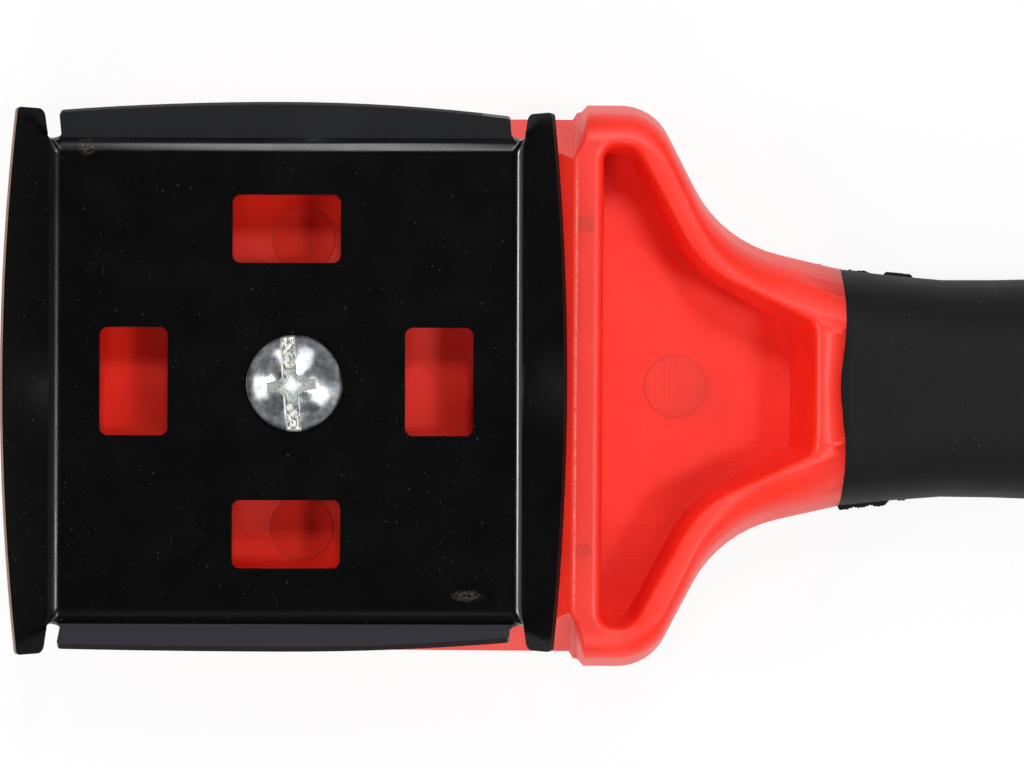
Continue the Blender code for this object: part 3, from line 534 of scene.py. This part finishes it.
def softenRim(mesh):
    # carries the pocket's rounded rim up to the neck where the neck rises above it
    rimZ = body["rimZ"]
    reach = body["rimRound"]
    startX = screwX + body["pocketFrom"] - body["rimMargin"]
    endX = screwX + body["pocketTo"] + body["rimMargin"]
    inZone = [vert for vert in mesh.verts if startX < vert.co.x < endX and abs(vert.co.y) < body["rimHalf"]]
    higher = [vert for vert in inZone if vert.co.z > rimZ + body["rimStep"]]
    ring = [vert for vert in inZone if abs(vert.co.z - rimZ) < body["rimFlat"]]
    above = treeOf([vert.co for vert in higher])
    steps = []
    for vert in ring:
        found, place, distance = above.find((vert.co.x, vert.co.y, 0))
        if distance is not None and distance < body["rimStep"]:
            steps.append((vert.co.copy(), higher[place].co.z - rimZ))
    lift = treeOf([spot for spot, step in steps])
    for vert in inZone:
        if rimZ - reach < vert.co.z < rimZ + body["rimFlat"] and steps:
            found, place, distance = lift.find((vert.co.x, vert.co.y, 0))
            if distance < body["rimBlend"]:
                vert.co.z += steps[place][1] * (vert.co.z - rimZ + reach) / reach
    bmesh.ops.remove_doubles(mesh, verts=mesh.verts, dist=body["rimWeld"])
    bmesh.ops.dissolve_degenerate(mesh, edges=mesh.edges, dist=body["rimSliver"])
    print("rim carried up at", len(steps), "points")


def shapePocket(vert):
    # the pocket's foot is nearly sharp in the real mould
    fromScrew = vert.co.x - screwX
    inPocket = body["pocketFrom"] < fromScrew < body["pocketTo"]
    if inPocket and 0 < vert.co.z - body["floorHeight"] < body["foot"]:
        vert.co.z = body["floorHeight"]
    # its walls stand steeper than in the solids, except the one at the neck, which leans more
    atFoot = abs(vert.co.z - body["floorHeight"]) < body["footFlat"]
    if inPocket and atFoot and abs(vert.co.y) < body["wallHalf"]:
        atRidge = clamp((screwX + body["draftTo"] - vert.co.x) / body["draftBlend"])
        atNeck = clamp((vert.co.x - screwX - body["leanFrom"]) / body["leanBlend"])
        vert.co.x -= body["draftCut"] * atRidge + body["leanMore"] * atNeck
        vert.co.y += math.copysign(body["sideCut"] * (1 - atNeck), vert.co.y)


def raiseGroove(vert):
    # the groove behind the blade is shallower than in the solids
    inGroove = body["grooveFrom"] < vert.co.x - screwX < body["grooveTo"]
    below = body["rimZ"] - vert.co.z
    if inGroove and abs(vert.co.y) < body["grooveHalf"] and 0 < below < body["grooveDepth"]:
        vert.co.z = body["rimZ"] - body["grooveShare"] * below


def makeBody():
    piece = mergedCopy("handle_body", "mouldedBody")
    mesh = meshOf(piece.data)
    softenRim(mesh)
    waveSeam(mesh)
    for vert in mesh.verts:
        shapePocket(vert)
        raiseGroove(vert)
    finishes = [redSkin, redFloor, redRecess]
    for face in mesh.faces:
        face.normal_update()
        height = face.calc_center_median().z
        level = face.normal.z > body["levelNormal"]
        onPocket = level and abs(height - body["floorHeight"]) < body["onFloor"]
        onRecess = level and abs(height - body["recessFloor"]) < body["onFloor"]
        face.material_index = finishes.index(redFloor if onPocket else redRecess if onRecess else redSkin)
    putBack(mesh, piece)
    addFinishes(piece, *finishes)
    smoothShade(piece)
    keepFlats(piece)
    handOver(piece, "handle", "red_plastic", "handle_body")


makeBody()
print("body dressed")


# Ejector marks

marks = {
    "large": 7.4 * mm, "small": 1.8 * mm, "proud": 0.07 * mm, "sunk": 0.5 * mm, "edge": 0.05 * mm, "sides": 72,
    "ridgeAbove": 15.0 * mm, "shadedTo": 20.0 * mm, "levelNormal": 0.97, "above": 50.0 * mm,
}
markPlaces = [  # mm ahead of the screw, mm across, size
    (44.3, 0.0, "large"),
    (0.4, 16.9, "large"),
    (0.4, -16.9, "large"),
    (33.36, 18.5, "small"),
    (33.36, -19.0, "small"),
]


def surfaceOf(node):
    mesh = meshOf(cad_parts[node].data)
    tree = BVHTree.FromBMesh(mesh)
    mesh.free()
    return tree


def makeMarks():
    surface = surfaceOf("handle_body")
    mesh = bmesh.new()
    for alongX, acrossY, size in markPlaces:
        start = Vector((screwX + alongX * mm, acrossY * mm, marks["above"]))
        hit = surface.ray_cast(start, Vector((0, 0, -1)))[0]
        middle = hit.z + (marks["proud"] - marks["sunk"]) / 2
        radius = marks[size] / 2
        made = bmesh.ops.create_cone(mesh, cap_ends=True, segments=marks["sides"], radius1=radius,
                                     radius2=radius, depth=marks["proud"] + marks["sunk"],
                                     matrix=Matrix.Translation((hit.x, hit.y, middle)))
        fresh = set(made["verts"])
        rim = [edge for edge in mesh.edges
               if all(vert in fresh and vert.co.z > middle for vert in edge.verts)]
        bmesh.ops.bevel(mesh, geom=rim, affect="EDGES", offset=marks["edge"], segments=2,
                        profile=0.5, material=-1)
    settle(mesh)
    finishes = [redDisc, redRingShade, redSkin, shadedDisc]
    for face in mesh.faces:
        centre = face.calc_center_median()
        finish = shadedDisc if centre.x < screwX + marks["shadedTo"] else redDisc
        # painted shade on the mark's sides
        if face.normal.z < marks["levelNormal"]:
            finish = redRingShade
        if centre.z > marks["ridgeAbove"]:
            finish = redSkin
        face.material_index = finishes.index(finish)
    piece = newPiece("ejectorMarks", mesh)
    addFinishes(piece, *finishes)
    smoothShade(piece)
    keepFlats(piece)
    handOver(piece, "handle", "red_plastic")


makeMarks()
print("ejector marks set")


# Rubber grip

grip = {"close": 0.28 * mm, "sharpAngle": 40}


def makeGrip():
    piece = mergedCopy("soft_grip", "rubberGrip")
    mesh = meshOf(piece.data)
    waveSeam(mesh, close=grip["close"])
    putBack(mesh, piece)
    addFinishes(piece, rubber)
    smoothShade(piece, grip["sharpAngle"])
    handOver(piece, "handle", "black_rubber", "soft_grip")


makeGrip()
print("grip dressed")


# Moulding flash along the parting line

flash = {
    "thick": 0.12 * mm, "rooted": 0.4 * mm, "pitch": 0.1 * mm, "coarse": 0.9 * mm, "fine": 0.25 * mm,
    "fineShare": 0.8, "endHeight": 0.3, "endSlope": 8, "fewest": 3, "beside": 40.0 * mm,
}
flashPlaces = [  # stuff, side, mm ahead of the screw from and to, mm of height, mm of raggedness
    ("rubber", 1, 63.5, 67.2, 0.13, 0.2),
    ("rubber", 1, 68.5, 71.9, 0.42, 0.04),
    ("rubber", -1, 63.0, 69.3, 0.5, 0.26),
    ("rubber", -1, 70.3, 71.3, 0.2, 0.14),
    ("plastic", 1, 62.6, 63.6, 0.1, 0.14),
    ("plastic", 1, 60.7, 61.2, 0.16, 0.15),
]


def flashHeight(alongX, side, share, height, ragged):
    # a torn fin, lower towards its two ends
    rough = noise.noise(Vector((alongX / flash["coarse"], side, 0.3)))
    rough += flash["fineShare"] * noise.noise(Vector((alongX / flash["fine"], side, 2.3)))
    startSlope = flash["endSlope"] * share + flash["endHeight"]
    endSlope = flash["endSlope"] * (1 - share) + flash["endHeight"]
    return (height + ragged * rough) * mm * min(1.0, startSlope, endSlope)


def makeFlash(stuff, material, slot):
    surfaces = [surfaceOf("soft_grip"), surfaceOf("handle_body")]
    mesh = bmesh.new()
    for kind, side, fromX, toX, height, ragged in flashPlaces:
        if kind != stuff:
            continue
        count = max(int((toX - fromX) * mm / flash["pitch"]), flash["fewest"])
        grid = bmesh.ops.create_grid(mesh, x_segments=count, y_segments=1, size=0.5)["verts"]
        for vert in grid:
            # laid from the unit grid on to the skin, one row rooted in it and one standing out
            share = vert.co.x + 0.5
            alongX = screwX + (fromX + (toX - fromX) * share) * mm
            start = Vector((alongX, side * flash["beside"], body["parting"]))
            hits = [surface.ray_cast(start, Vector((0, -side, 0)))[0] for surface in surfaces]
            skin = max(abs(hit.y) for hit in hits if hit)
            tall = flashHeight(alongX, side, share, height, ragged)
            acrossY = skin + tall if vert.co.y > 0 else skin - flash["rooted"]
            vert.co = Vector((alongX, side * acrossY, body["parting"]))
    made = bmesh.ops.extrude_face_region(mesh, geom=mesh.faces[:])
    bmesh.ops.translate(mesh, verts=vertsOf(made["geom"]), vec=(0, 0, -flash["thick"]))
    settle(mesh)
    bmesh.ops.recalc_face_normals(mesh, faces=mesh.faces)
    piece = newPiece(stuff + "Flash", mesh)
    addFinishes(piece, material)
    handOver(piece, "handle", slot)


makeFlash("rubber", rubber, "black_rubber")
makeFlash("plastic", redSkin, "red_plastic")
print("flash added")


# Blade

blade = {
    "sheet": 0.9 * mm, "flatHalf": 26.5 * mm, "foldStart": 25.9 * mm,
    "tipHeight": 4.0 * mm, "tipNormal": 0.75, "lipStart": 0.9 * mm,
    "sideRise": math.radians(48), "topRise": math.radians(46), "bottomRise": math.radians(64),
}


def lipTipWay(centre):
    # the way that the lip under a point of the blade runs, outwards and up
    along = centre.x - bladeX
    if abs(along) > blade["flatHalf"]:
        return Vector((math.copysign(math.cos(blade["sideRise"]), along), 0, math.sin(blade["sideRise"])))
    rise = blade["topRise"] if centre.y > 0 else blade["bottomRise"]
    return Vector((0, math.copysign(math.cos(rise), centre.y), math.sin(rise)))


def bladeFinish(face):
    centre = face.calc_center_median()
    onSide = abs(centre.x - bladeX) > blade["flatHalf"]
    alongLip = face.normal.dot(lipTipWay(centre))
    onTip = centre.z > sheetBack + blade["tipHeight"] and alongLip > blade["tipNormal"]
    raised = centre.z > sheetBack + blade["sheet"] + blade["lipStart"]
    if onTip:
        return frontEdge if onSide and centre.x < bladeX else dullEdge
    if onSide and raised or centre.x < bladeX - blade["foldStart"]:
        return dullLacquer
    if raised:
        # painted reflection: the top lip is lighter grey and the bottom lip greyer than the flat
        return topLipReflectionLacquer if centre.y > 0 else bottomLipReflectionLacquer
    if centre.y < -blade["foldStart"] and not onSide:
        return unlitLacquer
    return lacquer


def makeBlade():
    piece = mergedCopy("blade", "hookBlade")
    mesh = meshOf(piece.data)
    finishes = [lacquer, frontEdge, dullEdge, topLipReflectionLacquer, bottomLipReflectionLacquer, dullLacquer, unlitLacquer]
    for face in mesh.faces:
        face.material_index = finishes.index(bladeFinish(face))
    putBack(mesh, piece)
    addFinishes(piece, *finishes)
    smoothShade(piece)
    keepFlats(piece)
    handOver(piece, "blade", "black_lacquered_steel", "blade")


makeBlade()
print("blade dressed")


# Screw

screw = {
    "head": 11.0 * mm, "rise": 2.7 * mm, "rim": 0.5 * mm, "shank": 5.0 * mm, "tip": 0.8 * mm,
    "chamfer": 0.6 * mm, "domeShare": 0.99, "domeSteps": 30, "turnSteps": 112, "sharpAngle": 30,
    # the slot lies where the burred plating has it
    "slotWidth": zincLook["slotWidth"], "slotTurn": zincLook["slotTurn"], "slotShift": zincLook["slotShift"],
    "slotDepth": 2.0 * mm, "slotOver": 1.3, "slotCells": (9, 80),
    "tornFloor": 0.06 * mm, "tornTop": 0.03 * mm, "tornSeed": 7,
    # cross recess, and the torn star in its middle
    "armSpan": 6.3 * mm, "armWidth": 1.25 * mm, "armDepth": 2.4 * mm, "armOpen": (1.18, 1.15),
    "armFoot": (0.5, 0.7), "crossX": -0.27 * mm, "crossY": -0.28 * mm,
    "starPoint": 1.35 * mm, "starWaist": 0.72 * mm, "starDepth": 2.9 * mm, "starFlare": 2.3,
    "starFlat": 0.05 * mm, "lift": 1.0 * mm,
}


def cutWith(piece, tool):
    cut = piece.modifiers.new("cut " + tool.name, "BOOLEAN")
    cut.operation = "DIFFERENCE"
    cut.solver = "EXACT"
    cut.material_mode = "TRANSFER"
    cut.object = tool
    bpy.context.view_layer.objects.active = piece
    bpy.ops.object.modifier_apply(modifier=cut.name)
    bpy.data.objects.remove(tool, do_unlink=True)


def toolPiece(name, mesh, shiftX, shiftY, height, material):
    # turns a cutter with the slot and sets it in the head
    settle(mesh)
    bmesh.ops.recalc_face_normals(mesh, faces=mesh.faces)
    bmesh.ops.rotate(mesh, verts=mesh.verts, cent=(0, 0, 0), matrix=Matrix.Rotation(screw["slotTurn"], 3, "Z"))
    bmesh.ops.translate(mesh, verts=mesh.verts, vec=(screwX + shiftX, shiftY, height))
    tool = newPiece(name, mesh)
    addFinishes(tool, material)
    return tool


def slotTool():
    rng = random.Random(screw["tornSeed"])
    across, along = screw["slotCells"]
    mesh = bmesh.new()
    bmesh.ops.create_grid(mesh, x_segments=across, y_segments=along, size=0.5)
    made = bmesh.ops.extrude_face_region(mesh, geom=mesh.faces[:])
    bmesh.ops.translate(mesh, verts=vertsOf(made["geom"]), vec=(0, 0, 1))
    depth = screw["slotDepth"] + screw["lift"]
    bmesh.ops.scale(mesh, verts=mesh.verts,
                    vec=(screw["slotWidth"], screw["slotOver"] * screw["head"], depth))
    for vert in mesh.verts:
        torn = screw["tornFloor"] if vert.co.z < depth / 2 else screw["tornTop"]
        vert.co += Vector((rng.uniform(-torn, torn), 0, rng.uniform(-torn, torn)))
    return toolPiece("slotTool", mesh, screw["slotShift"], 0, screwTop - screw["slotDepth"], slotSteel)


def armTool(name, turn):
    openLong, openWide = screw["armOpen"]
    footLong, footWide = screw["armFoot"]
    depth = screw["armDepth"] + screw["lift"]
    mesh = bmesh.new()
    bmesh.ops.create_cube(mesh, size=1.0)
    bmesh.ops.scale(mesh, verts=mesh.verts,
                    vec=(screw["armSpan"] * openLong, screw["armWidth"] * openWide, depth))
    foot = [vert for vert in mesh.verts if vert.co.z < 0]
    bmesh.ops.scale(mesh, verts=foot, vec=(footLong, footWide, 1))
    bmesh.ops.rotate(mesh, verts=mesh.verts, cent=(0, 0, 0), matrix=Matrix.Rotation(turn, 3, "Z"))
    middle = screwTop + screw["lift"] - depth / 2
    return toolPiece(name, mesh, screw["crossX"], screw["crossY"], middle, recessSteel)


def starTool():
    mesh = bmesh.new()
    ring = bmesh.ops.create_circle(mesh, cap_ends=True, segments=8, radius=screw["starPoint"])["verts"]
    for vert in ring:
        if min(abs(vert.co.x), abs(vert.co.y)) > 0.1 * mm:
            # every second corner is drawn in to the waist
            vert.co *= screw["starWaist"] / screw["starPoint"]
    made = bmesh.ops.extrude_face_region(mesh, geom=mesh.faces[:])
    raised = vertsOf(made["geom"])
    bmesh.ops.scale(mesh, verts=raised, vec=(screw["starFlare"], screw["starFlare"], 1))
    bmesh.ops.translate(mesh, verts=raised, vec=(0, 0, screw["starDepth"] + screw["lift"]))
    return toolPiece("starTool", mesh, screw["crossX"], screw["crossY"], screwTop - screw["starDepth"],
                     recessSteel)


def turnedScrew():
    # half profile from the crown down to the tip, spun round the axis
    radius = screw["head"] / 2
    domeRise = screw["rise"] - screw["rim"]
    ball = (radius ** 2 + domeRise ** 2) / (2 * domeRise)
    seat = screwTop - screw["rise"]
    mesh = bmesh.new()
    crown = mesh.verts.new((0, 0, screw["rise"]))
    arc = bmesh.ops.spin(mesh, geom=[crown], cent=(0, 0, screw["rise"] - ball), axis=(0, 1, 0),
                         angle=math.asin(radius / ball) * screw["domeShare"], steps=screw["domeSteps"])
    last = vertsOf(arc["geom_last"])[0]
    rim = screw["rim"]
    shank = screw["shank"] / 2
    chamfer = screw["chamfer"]
    tip = screw["tip"] - seat
    for x, z in ((radius, rim * 0.85), (radius, rim / 3), (radius - rim / 3, 0), (shank, 0),
                 (shank, tip + chamfer), (shank - chamfer, tip), (0, tip)):
        after = mesh.verts.new((x, 0, z))
        mesh.edges.new((last, after))
        last = after
    bmesh.ops.spin(mesh, geom=mesh.verts[:] + mesh.edges[:], cent=(0, 0, 0), axis=(0, 0, 1),
                   angle=2 * math.pi, steps=screw["turnSteps"], use_merge=True)
    bmesh.ops.remove_doubles(mesh, verts=mesh.verts, dist=meshCare["weld"])
    bmesh.ops.translate(mesh, verts=mesh.verts, vec=(screwX, 0, seat))
    settle(mesh)
    bmesh.ops.recalc_face_normals(mesh, faces=mesh.faces)
    return newPiece("trussScrew", mesh)


def makeScrew():
    piece = turnedScrew()
    addFinishes(piece, burredZinc)
    cutWith(piece, slotTool())
    cutWith(piece, armTool("armTool", 0))
    cutWith(piece, armTool("crossArmTool", math.pi / 2))
    cutWith(piece, starTool())
    addFinishes(piece, starSteel)
    steel = len(piece.data.materials) - 1
    starFloor = screwTop - screw["starDepth"]
    for face in piece.data.polygons:
        if abs(face.center.z - starFloor) < screw["starFlat"] and face.normal.z > 0.9:
            face.material_index = steel
    smoothShade(piece, screw["sharpAngle"])
    print("screw cut,", len(piece.data.polygons), "faces")
    handOver(piece, "screw", "zinc_plate", "blade_screw")


makeScrew()
print("screw turned and slotted")


# Nut

def makeNut():
    piece = mergedCopy("lock_nut", "hexNut")
    addFinishes(piece, zinc)
    smoothShade(piece)
    keepFlats(piece)
    handOver(piece, "handle", "zinc_plate", "lock_nut")


makeNut()
print("nut dressed")


# Floor, lamps, world and camera

studio = {
    "floor": 3.0, "floorWhite": "#EDEDED", "floorRough": 0.9, "shadowShare": 0.12, "white": "#FFFFFF",
    "horizon": 0.28, "middle": 0.13, "zenith": 0.03, "lowSky": (0.2, 0.5), "highSky": (0.6, 0.98),
    "aim": (-0.083, 0.0, 0.02), "distance": 1.0,
}
lamps = [
    # degrees round from the handle's end, degrees off the zenith, width, height, share of white on the floor
    ("handle side lamp", -10, 28, 0.1, 0.16, 0.24),
    ("far lamp", 80, 25, 0.1, 0.15, 0.25),
    ("front lamp", 180, 46, 0.2, 0.14, 0.19),
    ("near strip", 266, 42, 0.13, 0.85, 0.23),
    ("far softbox", 72, 46, 0.4, 0.6, 0.09),
    ("far left softbox", 119, 53, 0.2, 0.45, 0.04),
    ("front panel", 187, 62, 0.55, 0.4, 0.05),
    ("near right softbox", -24, 47, 0.45, 0.45, 0.09),
    ("end panel", -14, 68, 0.5, 0.55, 0.012),
]
photoView = {
    "sensor": 36, "lens": 122.8, "ahead": 24.9 * mm, "across": 0.12 * mm, "height": 421.2 * mm,
    "turn": math.radians(0.45),
}


def makeFloor():
    mesh = bmesh.new()
    bmesh.ops.create_grid(mesh, x_segments=1, y_segments=1, size=studio["floor"])
    piece = newPiece("paleFloor", mesh)
    # matt painted board: white to the camera and in reflections, apart from the object's shadow
    material, tree, shader = startMaterial("pale studio floor")
    setInputs(tree, shader, {
        "Base Color": linear(studio["floorWhite"]), "Roughness": studio["floorRough"],
        "Specular IOR Level": 0.0,
    })
    path = addNode(tree, "ShaderNodeLightPath")
    seen = path.outputs["Is Camera Ray"]
    for ray in ("Is Glossy Ray", "Is Transmission Ray"):
        seen = addNode(tree, "ShaderNodeMath", {0: seen, 1: path.outputs[ray]}, operation="MAXIMUM").outputs[0]
    share = addNode(tree, "ShaderNodeMath", {0: seen, 1: 1 - studio["shadowShare"]}, operation="MULTIPLY")
    glow = addNode(tree, "ShaderNodeEmission", {"Color": linear(studio["white"]), "Strength": 1.0})
    mix = addNode(tree, "ShaderNodeMixShader", {0: share.outputs[0], 1: shader.outputs[0], 2: glow.outputs[0]})
    tree.links.new(mix.outputs[0], tree.nodes["Material Output"].inputs[0])
    addFinishes(piece, material)


def makeLamps():
    aim = Vector(studio["aim"])
    distance = studio["distance"]
    for name, around, offZenith, width, height, share in lamps:
        tilt = math.radians(offZenith)
        turn = math.radians(around)
        toLamp = Vector((math.cos(turn) * math.sin(tilt), math.sin(turn) * math.sin(tilt), math.cos(tilt)))
        data = bpy.data.lights.new(name, "AREA")
        data.shape = "RECTANGLE"
        data.size = width
        data.size_y = height
        data.energy = share * math.pi ** 2 * distance ** 2 / math.cos(tilt)
        lamp = bpy.data.objects.new(name, data)
        lamp.location = aim + toLamp * distance
        sideways = Vector((0, 0, 1)).cross(toLamp).normalized()
        upwards = toLamp.cross(sideways)
        lamp.rotation_euler = Matrix((sideways, upwards, toLamp)).transposed().to_euler()
        bpy.context.scene.collection.objects.link(lamp)


def makeWorld():
    # a room that darkens from the horizon to the ceiling
    world = bpy.data.worlds.new("studio room")
    bpy.context.scene.world = world
    world.use_nodes = True
    tree = world.node_tree
    sky = addNode(tree, "ShaderNodeTexCoord").outputs["Generated"]
    up = addNode(tree, "ShaderNodeSeparateXYZ", {0: sky}).outputs[2]
    lowFrom, lowTo = studio["lowSky"]
    highFrom, highTo = studio["highSky"]
    lower = addNode(tree, "ShaderNodeMapRange",
                    {"Value": up, "From Min": lowFrom, "From Max": lowTo, "To Min": studio["horizon"],
                     "To Max": studio["middle"]}, interpolation_type="SMOOTHSTEP")
    upper = addNode(tree, "ShaderNodeMapRange",
                    {"Value": up, "From Min": highFrom, "From Max": highTo, "To Min": 1.0,
                     "To Max": studio["zenith"] / studio["middle"]}, interpolation_type="SMOOTHSTEP")
    level = addNode(tree, "ShaderNodeMath", {0: lower.outputs[0], 1: upper.outputs[0]}, operation="MULTIPLY")
    setInputs(tree, tree.nodes["Background"], {"Strength": level.outputs[0], "Color": linear(studio["white"])})


def makeCamera():
    data = bpy.data.cameras.new("photo camera")
    data.sensor_width = photoView["sensor"]
    data.lens = photoView["lens"]
    camera = bpy.data.objects.new("photo camera", data)
    camera.location = (screwX + photoView["ahead"], photoView["across"], photoView["height"])
    camera.rotation_euler = (0, 0, photoView["turn"])
    bpy.context.scene.collection.objects.link(camera)
    bpy.context.scene.camera = camera


makeFloor()
makeLamps()
makeWorld()
makeCamera()
bpy.context.scene.view_settings.view_transform = "Standard"
print("studio ready")
